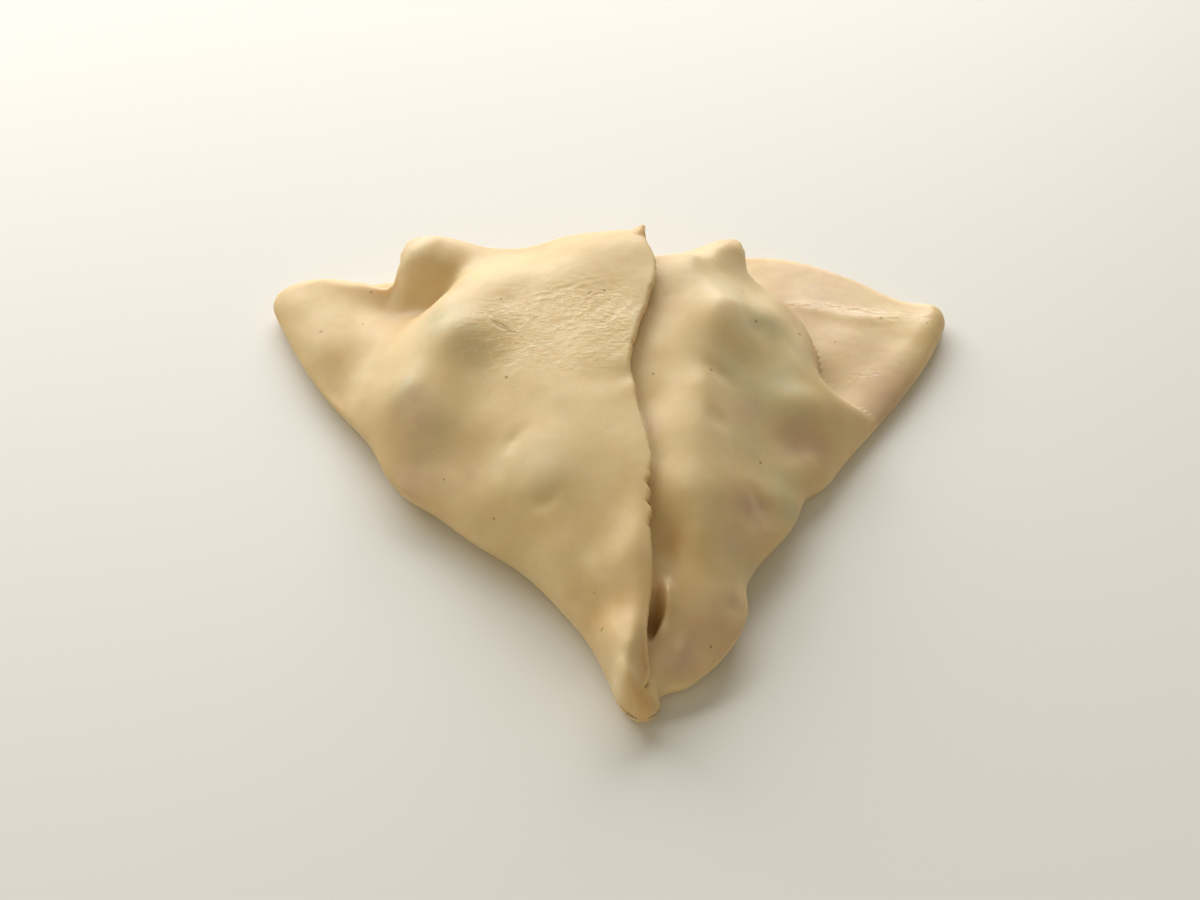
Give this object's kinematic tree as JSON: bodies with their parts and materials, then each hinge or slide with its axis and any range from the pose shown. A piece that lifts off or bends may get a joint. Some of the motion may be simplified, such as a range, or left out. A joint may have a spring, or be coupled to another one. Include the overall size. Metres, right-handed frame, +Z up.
{
  "type": "samosa",
  "caption": "Raw folded samosa, a flat dough triangle with an overlapping front seam, a rolled point and empty flat corners.",
  "frame": {"origin": "middle of the samosa's bounding box, on the surface it lies on", "axes": "+Z up, -Y towards the rolled point, +X towards the corner with the flat double flap"},
  "size_m": [0.097, 0.0808, 0.018],
  "materials": {
    "raw_dough": "satin"
  },
  "bodies": {
    "root": {"samosa": "raw_dough"}
  },
  "joints": []
}
